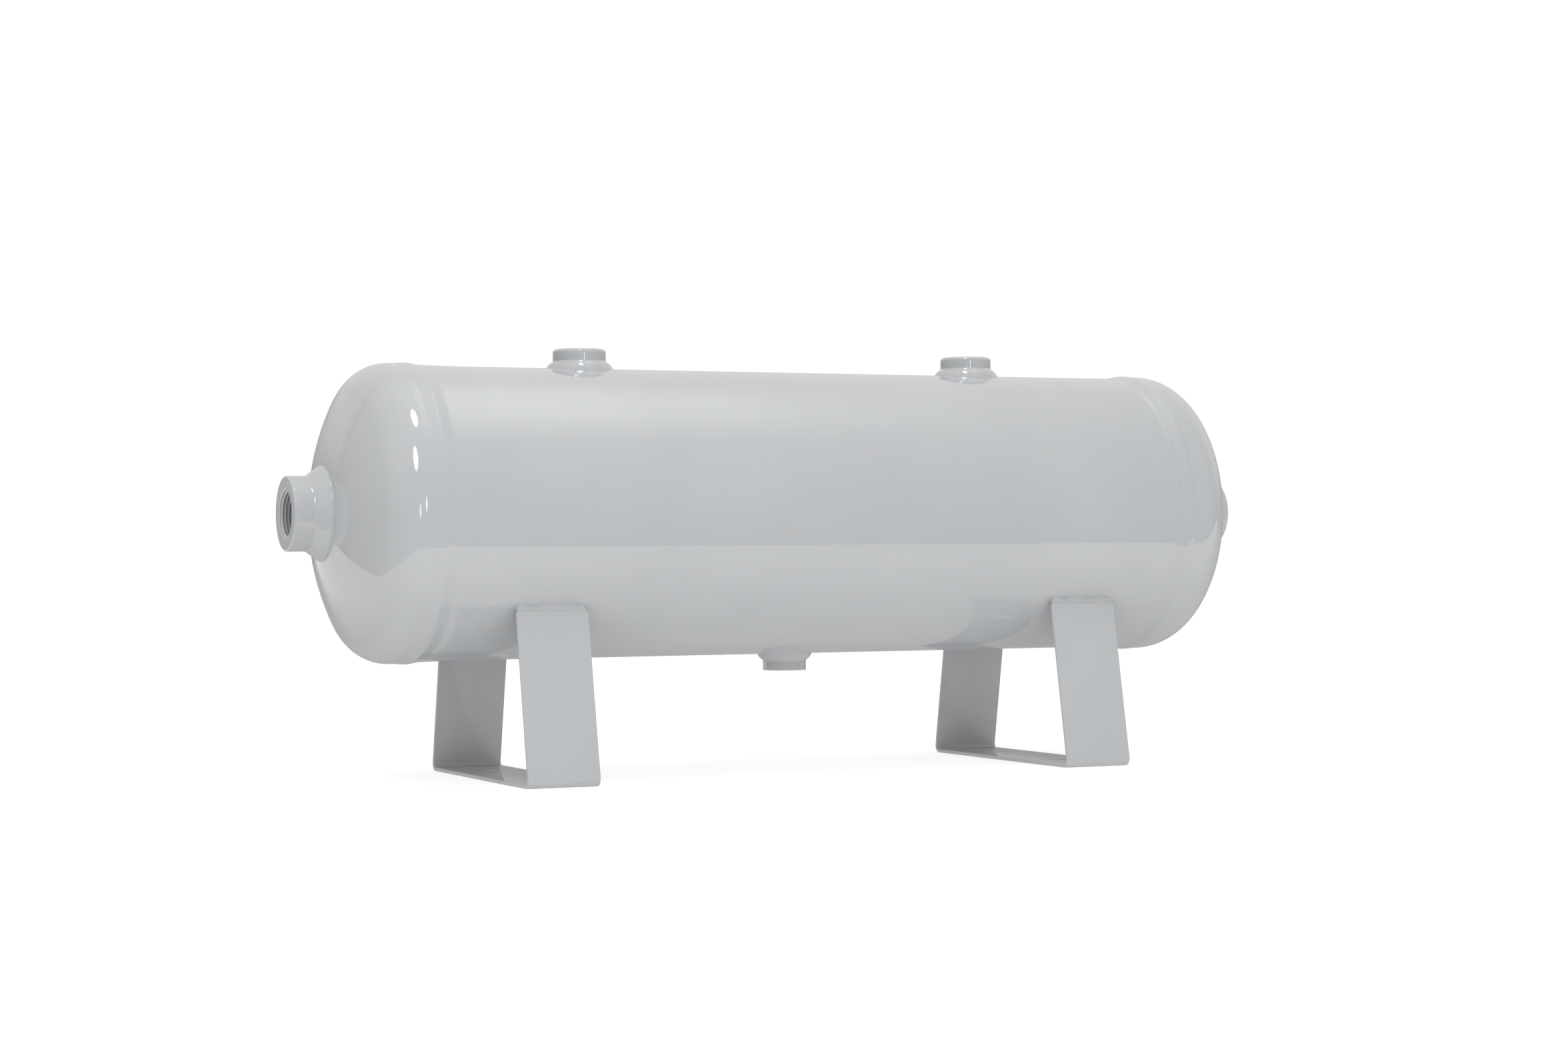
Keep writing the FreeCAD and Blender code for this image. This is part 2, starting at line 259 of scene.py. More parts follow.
def paint(name, light, dark, peel, edge_wear, roughness):
    """Glossy light grey paint: soft tone changes, spray texture, and thinner paint along edges."""
    material = bpy.data.materials.new(name)
    material.use_nodes = True
    tree = material.node_tree
    link = tree.links.new
    shader = tree.nodes["Principled BSDF"]
    shader.inputs["IOR"].default_value = 1.5
    shader.inputs["Coat Weight"].default_value = 0.4
    shader.inputs["Coat Roughness"].default_value = 0.015
    shader.inputs["Coat IOR"].default_value = 1.5
    place = add(tree, "ShaderNodeTexCoord")

    # tone: slow clouds of film thickness, with a fine grain over them
    clouds = add(tree, "ShaderNodeTexNoise", Scale=9.0, Detail=3.0, Roughness=0.55)
    grain = add(tree, "ShaderNodeTexNoise", Scale=900.0, Detail=2.0, Roughness=0.6)
    link(place.outputs["Object"], clouds.inputs["Vector"])
    link(place.outputs["Object"], grain.inputs["Vector"])
    both = add(tree, "ShaderNodeMath", operation="MULTIPLY_ADD")
    both.inputs[1].default_value = 0.25
    link(grain.outputs["Fac"], both.inputs[0])
    link(clouds.outputs["Fac"], both.inputs[2])
    tone = add(tree, "ShaderNodeValToRGB")
    tone.color_ramp.elements[0].position = 0.42
    tone.color_ramp.elements[0].color = (*dark, 1)
    tone.color_ramp.elements[1].position = 0.82
    tone.color_ramp.elements[1].color = (*light, 1)
    link(both.outputs[0], tone.inputs["Fac"])

    # wear: on sharp convex edges the film is thin and a little rubbed
    shape = add(tree, "ShaderNodeNewGeometry")
    edge = add(tree, "ShaderNodeMapRange")
    edge.inputs["From Min"].default_value = 0.56
    edge.inputs["From Max"].default_value = 0.68
    edge.inputs["To Max"].default_value = edge_wear
    link(shape.outputs["Pointiness"], edge.inputs["Value"])
    speck = add(tree, "ShaderNodeTexNoise", Scale=260.0, Detail=4.0, Roughness=0.7)
    link(place.outputs["Object"], speck.inputs["Vector"])
    broken = add(tree, "ShaderNodeMapRange")
    broken.inputs["From Min"].default_value = 0.46
    broken.inputs["From Max"].default_value = 0.62
    link(speck.outputs["Fac"], broken.inputs["Value"])
    worn = add(tree, "ShaderNodeMath", operation="MULTIPLY")
    link(edge.outputs["Result"], worn.inputs[0])
    link(broken.outputs["Result"], worn.inputs[1])
    colour = add(tree, "ShaderNodeMix", data_type="RGBA")
    colour.inputs["B"].default_value = (0.62, 0.63, 0.64, 1)
    link(worn.outputs[0], colour.inputs["Factor"])
    link(tone.outputs["Color"], colour.inputs["A"])
    link(colour.outputs["Result"], shader.inputs["Base Color"])

    # gloss: slightly duller in clouds and along worn edges
    dull = add(tree, "ShaderNodeTexNoise", Scale=38.0, Detail=4.0, Roughness=0.6)
    link(place.outputs["Object"], dull.inputs["Vector"])
    gloss = add(tree, "ShaderNodeMapRange")
    gloss.inputs["From Min"].default_value = 0.3
    gloss.inputs["From Max"].default_value = 0.7
    gloss.inputs["To Min"].default_value = roughness - 0.02
    gloss.inputs["To Max"].default_value = roughness + 0.03
    link(dull.outputs["Fac"], gloss.inputs["Value"])
    rubbed = add(tree, "ShaderNodeMath", operation="MULTIPLY_ADD")
    rubbed.inputs[1].default_value = 0.25
    link(worn.outputs[0], rubbed.inputs[0])
    link(gloss.outputs["Result"], rubbed.inputs[2])
    link(rubbed.outputs[0], shader.inputs["Roughness"])

    # spray texture: the faint orange peel of a wet film, over slower flow marks
    flow = add(tree, "ShaderNodeTexNoise", Scale=55.0, Detail=2.0, Roughness=0.5)
    skin = add(tree, "ShaderNodeTexNoise", Scale=420.0, Detail=2.0, Roughness=0.5)
    link(place.outputs["Object"], flow.inputs["Vector"])
    link(place.outputs["Object"], skin.inputs["Vector"])
    slow = add(tree, "ShaderNodeBump", Strength=1.0, Distance=peel * 2.5)
    fine = add(tree, "ShaderNodeBump", Strength=1.0, Distance=peel)
    link(flow.outputs["Fac"], slow.inputs["Height"])
    link(skin.outputs["Fac"], fine.inputs["Height"])
    link(slow.outputs["Normal"], fine.inputs["Normal"])
    link(fine.outputs["Normal"], shader.inputs["Normal"])
    return material


fine_peel = 0.000002
coarse_peel = 0.000003
light_grey = (0.402, 0.412, 0.423)
mid_grey = (0.380, 0.390, 0.401)
paints = {
    "vessel_paint": paint("vessel_paint", light_grey, mid_grey, fine_peel, 0.25, 0.03),
    "weld_paint": paint("weld_paint", light_grey, mid_grey, coarse_peel, 0.15, 0.035),
    "boss_paint": paint("boss_paint", light_grey, mid_grey, fine_peel, 0.45, 0.04),
    "foot_paint": paint("foot_paint", light_grey, mid_grey, coarse_peel, 0.45, 0.05),
}
node_slots = {row["node"]: row["material_slot"] for row in frame["record"]["subparts"]}


def settle(piece, node):
    """Paint a piece, let it ride on the tank and stand for its CAD node."""
    slot = node_slots[node]
    piece.data.materials.clear()
    piece.data.materials.append(paints[slot])
    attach(piece, "root")
    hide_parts(node)


# ---------------------------------------------------------------- shell and seam

# The left end of the plate is spread a little
flare = 0.65 * MM
flare_length = 42.0 * MM


def seam_frame(x, off, height):
    """A point near the seam: off is across it and height above the plate's outer surface."""
    across = Vector((0, -math.sin(seam_angle), math.cos(seam_angle)))
    up = Vector((0, math.cos(seam_angle), math.sin(seam_angle)))
    drop = math.sqrt(max(shell_r ** 2 - off ** 2, 0))
    return Vector((x, 0, axis_z)) + across * off + up * (drop + height)


def prism(loop, ends, place):
    """A closed cutter: a flat loop of points at the two given heights of a local frame."""
    count = len(loop)
    verts = [place @ Vector((a, b, height)) for height in ends for a, b in loop]
    faces = [(i, (i + 1) % count, count + (i + 1) % count, count + i) for i in range(count)]
    faces += [tuple(reversed(range(count))), tuple(range(count, 2 * count))]
    return outward(mesh_piece("cutter", verts, faces))


def hole_cutter(x, side, radius):
    """Round cutter through the wall of the shell at x, at the top (1) or the bottom (-1)."""
    loop = arc((0, 0), radius, 0, 360 - 360 / hole_points, hole_points - 1)
    return prism(loop, (0.6 * shell_r, 1.3 * shell_r), placed_z(x, side))


def make_shell():
    """Rolled plate, flared at its left end, with a slit at the seam and a hole for each boss."""
    inner_r = shell_r - plate
    slit = math.asin(seam_gap / 2 / shell_r)
    angles = np.linspace(seam_angle + slit, seam_angle - slit + TURN, shell_around + 1)
    unit = [(math.cos(a), math.sin(a)) for a in angles]
    sections = []
    for x in np.linspace(-shell_half, shell_half, shell_steps + 1):
        share = min(1.0, max(0.0, -x - shell_half + flare_length) / flare_length)
        outer_r = shell_r + flare * share * share * (3 - 2 * share)
        loop = [(x, outer_r * y, axis_z + outer_r * z) for y, z in unit]
        loop += [(x, inner_r * y, axis_z + inner_r * z) for y, z in reversed(unit)]
        sections.append(loop)
    piece = outward(extruded("shell_painted", sections, len(unit)))
    cutters = []
    for name in ("top_boss_left", "top_boss_right", "drain_boss"):
        low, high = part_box(name)
        side = 1 if low.z > axis_z else -1
        cutters.append(hole_cutter((low.x + high.x) / 2, side, (high.x - low.x) / 2))
    settle(cut(piece, cutters), "shell")


def make_seam_weld():
    """Machine-laid bead along the shell, with fine curved ripples and a root that fills the slit."""
    half_width = 3.6 * MM
    crown = 1.0 * MM
    ripple = 0.035 * MM
    ripple_length = 2.4 * MM
    sink = 0.12 * MM
    end = girth_toe_shell + 1.0 * MM
    offsets = np.linspace(-half_width, half_width, 19)
    stations = np.arange(-end, end, 0.6 * MM)
    sway = wander(stations * TURN / (2 * end), 5, range(3, 12), 0.12 * MM)
    sections = []
    for x, drift in zip(stations, sway):
        top = []
        for off in offsets:
            share = 1 - (off / half_width) ** 2
            wave = math.cos(TURN * (x + 0.35 * off ** 2 / half_width) / ripple_length)
            top.append(seam_frame(x, off + drift, (crown + ripple * wave) * share ** 0.8 - sink))
        root = []
        for off in reversed(offsets):
            held = max(-seam_gap / 2, min(seam_gap / 2, off))
            depth = plate if abs(off) < seam_gap else 2.5 * sink
            root.append(seam_frame(x, held if abs(off) < seam_gap else off * 0.96 + drift, -depth))
        sections.append(top + root)
    settle(outward(extruded("seam_weld_painted", sections, len(offsets))), "seam_weld")


# ---------------------------------------------------------------- heads

crown_run = math.sqrt((crown_r - knuckle_r) ** 2 - (head_r - knuckle_r) ** 2)
crown_x = flange_end - crown_run
crown_turn = math.degrees(math.atan2(head_r - knuckle_r, crown_run))


def crown_at(r, offset=0.0):
    """Distance along the axis of the head's crown at radius r, offset into the plate."""
    return crown_x + math.sqrt((crown_r - offset) ** 2 - r ** 2)


def crown_angle(r, offset=0.0):
    """Angle of the crown's arc in degrees at radius r, offset into the plate."""
    return math.degrees(math.asin(r / (crown_r - offset)))


def make_head(end, side):
    """Dished head: joggled lip inside the shell, flange, knuckle, crown, and the hole for the boss."""
    boss_low, boss_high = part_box("end_boss_" + end)
    hole = (boss_high.z - boss_low.z) / 2
    lip_r = shell_r - plate
    knuckle = (flange_end, head_r - knuckle_r)
    crown = (crown_x, 0.0)
    profile = straight((lip_end, lip_r), (lip_stop, lip_r), 4)
    joggle = (lip_stop + 0.6 * MM, lip_r + 0.1 * MM), (flange_start - 1.0 * MM, head_r - 0.6 * MM)
    profile += straight(*joggle, 4)
    profile += [(flange_start - 0.4 * MM, head_r - 0.2 * MM), (flange_start + 0.5 * MM, head_r)]
    profile += straight((flange_start + 1.5 * MM, head_r), (flange_end, head_r), 6)
    profile += arc(knuckle, knuckle_r, 90, crown_turn, 34)[1:]
    profile += arc(crown, crown_r, crown_turn, crown_angle(hole), 40)[1:]
    profile += arc(crown, crown_r - plate, crown_angle(hole, plate), crown_turn, 16)
    profile += arc(knuckle, knuckle_r - plate, crown_turn, 90, 14)[1:]
    inner_joggle = (flange_start + 1.0 * MM, head_r - plate), (lip_stop + 1.0 * MM, lip_r - plate)
    profile += straight(*inner_joggle, 3)
    profile += [(lip_end, lip_r - plate)]
    along, radius = spun(profile, head_around)
    settle(outward(turned(f"head_{end}_painted", along, radius, placed_x(side))), "head_" + end)


# Girth caps as (distance from the toe on the shell, height above the plain shell) in mm. The left one
# starts inside the flared plate, the right one has a small crease at its toe. Both end at the head.
girth_caps = {
    "left": [(-5.0, 0.42), (-3.0, 0.64), (-0.5, 0.98), (2.0, 1.48), (4.0, 1.88),
             (5.8, 2.06), (7.6, 1.96), (9.4, 1.82), (11.2, 1.67), (13.0, 1.52)],
    "right": [(-5.0, -0.05), (-4.2, 0.03), (-2.6, 0.36), (-1.4, 0.60), (-0.5, 0.62),
              (0.1, 0.49), (0.7, 0.60), (2.0, 0.96), (3.6, 1.41), (5.2, 1.86),
              (6.4, 2.10), (7.8, 2.13), (9.2, 1.93), (10.5, 1.66), (11.6, 1.42)],
}


def make_girth_weld(end, side):
    """Girth bead between shell and head, with the faint unevenness of a machine weld under paint."""
    theta = np.arange(girth_around) * TURN / girth_around
    seed = 11 if side < 0 else 17
    lip_r = shell_r - plate
    cap = smooth_curve([(girth_toe_shell + a * MM, shell_r + h * MM) for a, h in girth_caps[end]], 6)
    groove = [(girth_toe_head - 1.0 * MM, head_r - 0.5 * MM), (flange_start, head_r - 0.3 * MM),
              (lip_stop, lip_r), (shell_half, lip_r), (shell_half - 0.2 * MM, shell_r - 0.3 * MM),
              (girth_toe_shell - 4.0 * MM, shell_r - 0.3 * MM)]
    along, radius = spun(cap + groove, girth_around)
    rise = np.sin(np.linspace(0, math.pi, len(cap))) ** 1.5
    rise = np.append(rise, np.zeros(len(groove)))
    ripple = 0.006 * MM * np.sin(190 * theta + 2.0 * np.sin(5 * theta))
    radius += np.outer(rise, wander(theta, seed, range(3, 12), 0.04 * MM) - 0.05 * MM + ripple)
    along += np.outer(rise, wander(theta, seed + 1, range(2, 8), 0.20 * MM))
    node = "girth_weld_" + end
    settle(outward(turned(node + "_painted", along, radius, placed_x(side))), node)


# ---------------------------------------------------------------- bosses and their welds

class Port:
    """Where a boss is: its local frame, outer radius, back and face along its own axis, and its thread."""

    def __init__(self, node, kind, place, back, face, r):
        self.node, self.kind, self.place = node, kind, place
        self.back, self.face, self.r = back, face, r
        mount = mounts[node.replace("boss", "port")]
        self.crest = mount["dims"]["r_mm"] * MM
        self.root = thread_root[kind] / 2
        self.pitch = thread_pitch[kind]


def end_port(end, side):
    """The boss in the crown of a head."""
    low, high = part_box("end_boss_" + end)
    near, far = sorted((abs(low.x), abs(high.x)))
    return Port("end_boss_" + end, "end", placed_x(side), near, far, (high.z - low.z) / 2)


def wall_port(node, kind, side):
    """A boss in the wall of the shell, at the top (1) or the bottom (-1)."""
    low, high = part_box(node)
    near, far = sorted((abs(low.z - axis_z), abs(high.z - axis_z)))
    x = mounts[node.replace("boss", "port")]["pos_m"][0]
    return Port(node, kind, placed_z(x, side), near, far, (high.x - low.x) / 2)


def thread_height(phase):
    """Whitworth form across one pitch: 0 at the crest, 1 at the root, with rounded crests and roots."""
    ridge = 1 - np.abs(2 * phase - 1)
    flank = np.clip((ridge - 1 / 6) * 1.5, 0, 1)
    return 0.45 * flank + 0.55 * flank * flank * (3 - 2 * flank)


def make_boss(port):
    """Turned boss: chamfered mouth, rounded rim and a real helical thread through it."""
    theta = np.arange(boss_around) * TURN / boss_around
    rounding = rim_round[port.kind]
    mouth = port.root + mouth_extra
    face_round = 0.35 * MM
    outside = straight((port.back, port.r), (port.face - rounding, port.r), 14)
    rim = arc((port.face - rounding, port.r - rounding), rounding, 90, 0, 8)[1:]
    face = straight((port.face, port.r - rounding - 0.2 * MM), (port.face, mouth + face_round), 4)
    lip = arc((port.face - face_round, mouth + face_round), face_round, 360, 315, 3)[1:]
    depth = port.face - lip[-1][0]
    bore = np.arange(port.face - depth - 0.05 * MM, port.back, -port.pitch / 11)
    bore = np.append(bore, port.back)
    solid = outside + rim + face + lip
    along, radius = spun(solid + [(a, port.crest) for a in bore], boss_around)
    first = len(solid)
    phase = np.mod(along[first:] / port.pitch - theta / TURN, 1.0)
    thread = port.crest + (port.root - port.crest) * thread_height(phase)
    cone = lip[-1][1] - (lip[-1][0] - along[first:])
    radius[first:] = np.maximum(thread, cone)
    settle(outward(turned(port.node + "_painted", along, radius, port.place)), port.node)


def make_end_boss_weld(end, side, port):
    """Fillet round the end boss: hollow against the boss, straight slope, rounded toe on the crown."""
    theta = np.arange(fillet_around) * TURN / fillet_around
    low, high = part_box("end_boss_weld_" + end)
    toe_r = (high.z - low.z) / 2
    top = max(abs(low.x), abs(high.x))
    face = [(top + 1.9 * MM, port.r - 0.03 * MM), (top + 1.0 * MM, port.r + 0.08 * MM),
            (top + 0.1 * MM, port.r + 0.38 * MM), (top - 0.8 * MM, port.r + 0.90 * MM),
            (top - 4.2 * MM, port.r + 3.4 * MM), (top - 7.6 * MM, port.r + 5.75 * MM),
            (top - 9.4 * MM, port.r + 6.85 * MM),
            (crown_at(toe_r - 0.4 * MM) + 0.35 * MM, toe_r - 0.4 * MM),
            (crown_at(toe_r + 0.1 * MM) - 0.3 * MM, toe_r + 0.10 * MM)]
    face = smooth_curve(face, 6)
    under = [(crown_at(toe_r) - 0.8 * MM, toe_r - 0.6 * MM),
             (crown_at(port.r) - 0.8 * MM, port.r - 0.3 * MM)]
    along, radius = spun(face + under, fillet_around)
    middle = np.sin(np.linspace(0, math.pi, len(face))) ** 0.7
    weight = np.append(middle, np.zeros(len(under)))
    uneven = wander(theta, 23 + side, range(2, 9), 0.07 * MM) + 0.004 * MM * np.sin(64 * theta)
    along += np.outer(weight, uneven)
    radius += np.outer(weight, uneven * 0.7)
    name = f"end_boss_weld_{end}"
    settle(outward(turned(name + "_painted", along, radius, port.place)), name)


def make_saddle_weld(node, port, seed):
    """Weld ring round a boss on the curved shell: a convex bead, then a skirt that runs into the plate."""
    theta = np.arange(fillet_around) * TURN / fillet_around
    low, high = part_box(node)
    top = max(abs(low.z - axis_z), abs(high.z - axis_z))
    reach = (high.x - low.x) / 2 - port.r
    bulge = 0.055
    dip = 0.02
    skirt_start = 0.86
    shares = np.linspace(0, 1, 30)
    along, radius = [], []
    wide = wander(theta, seed, range(2, 9), 0.04)
    for s in shares:
        r = port.r - 0.03 * MM + reach * (s + 0.25 * wide * s)
        plate_z = np.sqrt(shell_r ** 2 - (r * np.sin(theta)) ** 2)
        hollow = math.exp(-s / 0.07) * 0.9 * MM
        skirt = bulge * math.sin(math.pi * min(1.0, s / skirt_start))
        skirt -= dip * math.sin(math.pi * max(0.0, s - skirt_start) / 0.14)
        drop = (top - plate_z) * s
        along.append(top - drop + hollow + skirt * reach * 3.0 - 0.08 * MM * s ** 4)
        radius.append(r)
    toe_r = radius[-1]
    deep = np.sqrt(shell_r ** 2 - toe_r ** 2 * np.sin(theta) ** 2)
    along.append(deep - 0.7 * MM)
    radius.append(toe_r - 0.5 * MM)
    along.append(np.sqrt(shell_r ** 2 - port.r ** 2 * np.sin(theta) ** 2) - 0.7 * MM)
    radius.append(np.full(fillet_around, port.r - 0.3 * MM))
    along, radius = np.array(along), np.array(radius)
    weight = np.append(np.sin(np.pi * shares) ** 0.8, [0, 0])
    uneven = wander(theta, seed + 3, range(3, 12), 0.06 * MM)
    along += np.outer(weight, 0.010 * MM * np.sin(52 * theta) + uneven)
    settle(outward(turned(node + "_painted", along, radius, port.place)), node)


# ---------------------------------------------------------------- strip feet

def leg_lines(node):
    """The foot's outline on the +Y side in (y, z): outer bend centre, lean of the leg and its top corner."""
    low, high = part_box(node)
    _, weld_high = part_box(node.replace("foot", "foot_weld") + "_back")
    top = Vector((weld_high.y, high.z))
    centre = Vector((high.y - bend_r, low.z + bend_r))
    to_top = top - centre
    reach = to_top.length
    lean = math.atan2(to_top.y, to_top.x) - math.acos(bend_r / reach)
    return centre, lean, top


def foot_path(node):
    """Centreline of the strip from the top of one leg to the top of the other, as (y, z, normal angle)."""
    centre, lean, top = leg_lines(node)
    middle_r = bend_r - strip / 2
    inward = Vector((math.cos(lean), math.sin(lean))) * (strip / 2)
    leg_top = top - inward
    leg_foot = centre + Vector((math.cos(lean), math.sin(lean))) * middle_r
    half = []
    for t in np.concatenate([[0, 0.3, 0.6, 0.9, 1.2, 1.6], np.linspace(2.4, 30, 12)]) * MM:
        along = (leg_foot - leg_top).normalized()
        half.append((*(leg_top + along * t), lean))
    for share in np.linspace(0.3, 1, 16):
        half.append((*leg_top.lerp(leg_foot, share), lean))
    for angle in np.linspace(lean, -math.pi / 2, 17)[1:]:
        half.append((centre.x + middle_r * math.cos(angle), centre.y + middle_r * math.sin(angle), angle))
    for y in np.linspace(centre.x, 0, 15)[1:]:
        half.append((y, strip / 2, -math.pi / 2))
    other = [(-y, z, math.pi - angle) for y, z, angle in reversed(half[:-1])]
    return half + other


def strip_section(half_width):
    """Loop of (across, out) points of the strip's rounded section."""
    half = strip / 2
    e = strip_edge
    loop = []
    for sx, sy, first in ((1, 1, 0), (-1, 1, 90), (-1, -1, 180), (1, -1, 270)):
        loop += arc((sx * (half_width - e), sy * (half - e)), e, first, first + 90, 5)
    return loop


def slot_cutter(x, y, radius, length):
    """Rounded cutter through the base of a foot, long along X."""
    shift = max(0.0, length / 2 - radius)
    ends = [(x + shift + dx, y + dy) for dx, dy in arc((0, 0), radius, -90, 90, 32)]
    ends += [(x - shift + dx, y + dy) for dx, dy in arc((0, 0), radius, 90, 270, 32)]
    return prism(ends, (-2 * MM, strip + 2 * MM), Matrix.Identity(4))


def make_foot(end, side):
    """One bent strip with rounded edges, drilled or slotted for two bolts."""
    node = "foot_" + end
    low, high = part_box(node)
    x = (low.x + high.x) / 2
    half_width = (high.x - low.x) / 2
    path = foot_path(node)
    run = [0.0]
    for (y0, z0, _), (y1, z1, _) in zip(path, path[1:]):
        run.append(run[-1] + math.hypot(y1 - y0, z1 - z0))
    sections = []
    for (y, z, angle), done in zip(path, run):
        left = min(done, run[-1] - done)
        inset = 0.0
        if left < strip_corner:
            inset = strip_corner - math.sqrt(strip_corner ** 2 - (strip_corner - left) ** 2)
        loop = strip_section(half_width - inset)
        sections.append([(x + u, y + math.cos(angle) * v, z + math.sin(angle) * v) for u, v in loop])
    count = len(sections[0])
    verts = [v for section in sections for v in section]
    faces = bands(len(sections), count)
    faces += [tuple(range(count)), tuple(range(len(verts) - count, len(verts)))]
    piece = outward(mesh_piece(node + "_painted", verts, faces))
    holes = mounts["foot_left_holes"]["dims"]
    spread = holes["spacing_y_mm"] * MM / 2
    radius = holes["hole_r_mm"] * MM
    length = 2 * radius if side < 0 else slot_length
    cutters = [slot_cutter(x, y, radius, length) for y in (-spread, spread)]
    settle(cut(piece, cutters), node)


def make_foot_weld(end, face_side, seed):
    """Bead along the top of a leg, between the strip's end and the shell, thinner at its two ends."""
    facing = "front" if face_side < 0 else "back"
    node = f"foot_weld_{end}_{facing}"
    low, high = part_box(node)
    x0, x1 = low.x - 0.4 * MM, high.x + 0.4 * MM
    centre, lean, top = leg_lines("foot_" + end)
    outer = Vector((math.cos(lean), math.sin(lean)))
    start = top - outer * 0.30 * MM - Vector((0, 0.10 * MM))
    end_round = 3.5 * MM
    toe_r = shell_r - 0.05 * MM
    sunk = 0.985
    across_steps = 13
    toe_angle = math.asin((high.z - axis_z) / shell_r)
    stations = x0 + (x1 - x0) * (1 - np.cos(np.linspace(0, math.pi, 80))) / 2
    width = wander(np.linspace(0, TURN, len(stations)), seed, range(2, 6), 0.006)
    low_angle = math.asin((top.y - axis_z) / shell_r) + 0.004
    sections = []
    for x, drift in zip(stations, width):
        from_end = min(x - x0, x1 - x)
        size = math.sqrt(max(0.0, 1 - max(0.0, 1 - from_end / end_round) ** 2))
        ripple = 0.008 * MM * math.cos(TURN * x / (2.8 * MM))
        angle = low_angle + (toe_angle + 0.004 + drift - low_angle) * (0.25 + 0.75 * size)
        toe = Vector((math.cos(angle) * toe_r, math.sin(angle) * toe_r + axis_z))
        face = []
        for s in np.linspace(0, 1, across_steps):
            point = start.lerp(toe, s)
            away = Vector((0.5, 0.87)) * ((0.30 * MM + ripple) * math.sin(math.pi * s ** 0.8) * size)
            face.append(point + away)
        inner = [Vector((sunk * p.x, axis_z + (p.y - axis_z) * sunk)) for p in reversed(face[1:])]
        inner.append(start - outer * 1.2 * MM - Vector((0, 0.8 * MM)))
        sections.append([(x, face_side * p.x, p.y) for p in face + inner])
    settle(outward(extruded(node + "_painted", sections, across_steps)), node)


# ---------------------------------------------------------------- stage, lights and camera

def emitter(name, mesh, strength_nodes, glossy_only):
    """A glowing card of the studio. It never shows itself, only its light or its reflection."""
    card = bpy.data.objects.new(name, mesh)
    bpy.context.scene.collection.objects.link(card)
    material = bpy.data.materials.new(name)
    material.use_nodes = True
    tree = material.node_tree
    tree.nodes.clear()
    glow = tree.nodes.new("ShaderNodeEmission")
    out = tree.nodes.new("ShaderNodeOutputMaterial")
    tree.links.new(glow.outputs[0], out.inputs[0])
    strength_nodes(tree, glow)
    mesh.materials.append(material)
    card.visible_camera = False
    card.visible_shadow = False
    card.visible_transmission = False
    if glossy_only:
        card.visible_diffuse = False
        card.visible_volume_scatter = False
        material.cycles.emission_sampling = "NONE"
    return card


def ramp(tree, source, stops):
    """A colour ramp with grey stops, driven by source."""
    node = add(tree, "ShaderNodeValToRGB")
    first, last = node.color_ramp.elements
    first.position, last.position = stops[0][0], stops[-1][0]
    first.color = (stops[0][1],) * 3 + (1,)
    last.color = (stops[-1][1],) * 3 + (1,)
    for position, level in stops[1:-1]:
        stop = node.color_ramp.elements.new(position)
        stop.color = (level,) * 3 + (1,)
    tree.links.new(source, node.inputs["Fac"])
    return node.outputs["Color"]


def spread(tree, source, low, high):
    """Where source lies between low and high, as 0 to 1."""
    node = add(tree, "ShaderNodeMapRange")
    node.inputs["From Min"].default_value = low
    node.inputs["From Max"].default_value = high
    tree.links.new(source, node.inputs["Value"])
    return node.outputs["Result"]


def combined(tree, a, b, blend_type):
    """Two colours multiplied or added in full."""
    node = add(tree, "ShaderNodeMix", data_type="RGBA", blend_type=blend_type)
    node.inputs["Factor"].default_value = 1.0
    tree.links.new(a, node.inputs["A"])
    tree.links.new(b, node.inputs["B"])
    return node.outputs["Result"]


def chosen(tree, share, a, b):
    """Colour a where share is 0 and b where it is 1."""
    node = add(tree, "ShaderNodeMix", data_type="RGBA")
    tree.links.new(share, node.inputs["Factor"])
    tree.links.new(a, node.inputs["A"])
    tree.links.new(b, node.inputs["B"])
    return node.outputs["Result"]


def heights(*stops):
    """Ramp stops from pairs of elevation in degrees and brightness."""
    return [((elevation + 90) / 180, level) for elevation, level in stops]


def room_tone(tree, glow):
    """What the paint mirrors: a dim room in front, lighter walls behind and left, a bright ceiling."""
    place = add(tree, "ShaderNodeTexCoord")
    away = add(tree, "ShaderNodeVectorMath", operation="NORMALIZE")
    tree.links.new(place.outputs["Object"], away.inputs[0])
    split = add(tree, "ShaderNodeSeparateXYZ")
    tree.links.new(away.outputs[0], split.inputs[0])
    rise = add(tree, "ShaderNodeMath", operation="ARCSINE")
    tree.links.new(split.outputs["Z"], rise.inputs[0])
    elevation = spread(tree, rise.outputs[0], -math.pi / 2, math.pi / 2)
    around = add(tree, "ShaderNodeMath", operation="ARCTAN2")
    tree.links.new(split.outputs["Y"], around.inputs[0])
    tree.links.new(split.outputs["X"], around.inputs[1])
    heading = spread(tree, around.outputs[0], -math.pi, math.pi)
    front = ramp(tree, elevation, front_heights)
    back = ramp(tree, elevation, back_heights)
    left = ramp(tree, elevation, left_heights)
    near = chosen(tree, ramp(tree, heading, left_headings), front, left)
    walls = chosen(tree, ramp(tree, heading, front_headings), back, near)
    length = ramp(tree, spread(tree, split.outputs["X"], -1.0, 1.0), ceiling_lengths)
    width = ramp(tree, elevation, ceiling_heights)
    ceiling = combined(tree, length, width, "MULTIPLY")
    tree.links.new(combined(tree, walls, ceiling, "ADD"), glow.inputs["Color"])
    glow.inputs["Strength"].default_value = 1.5


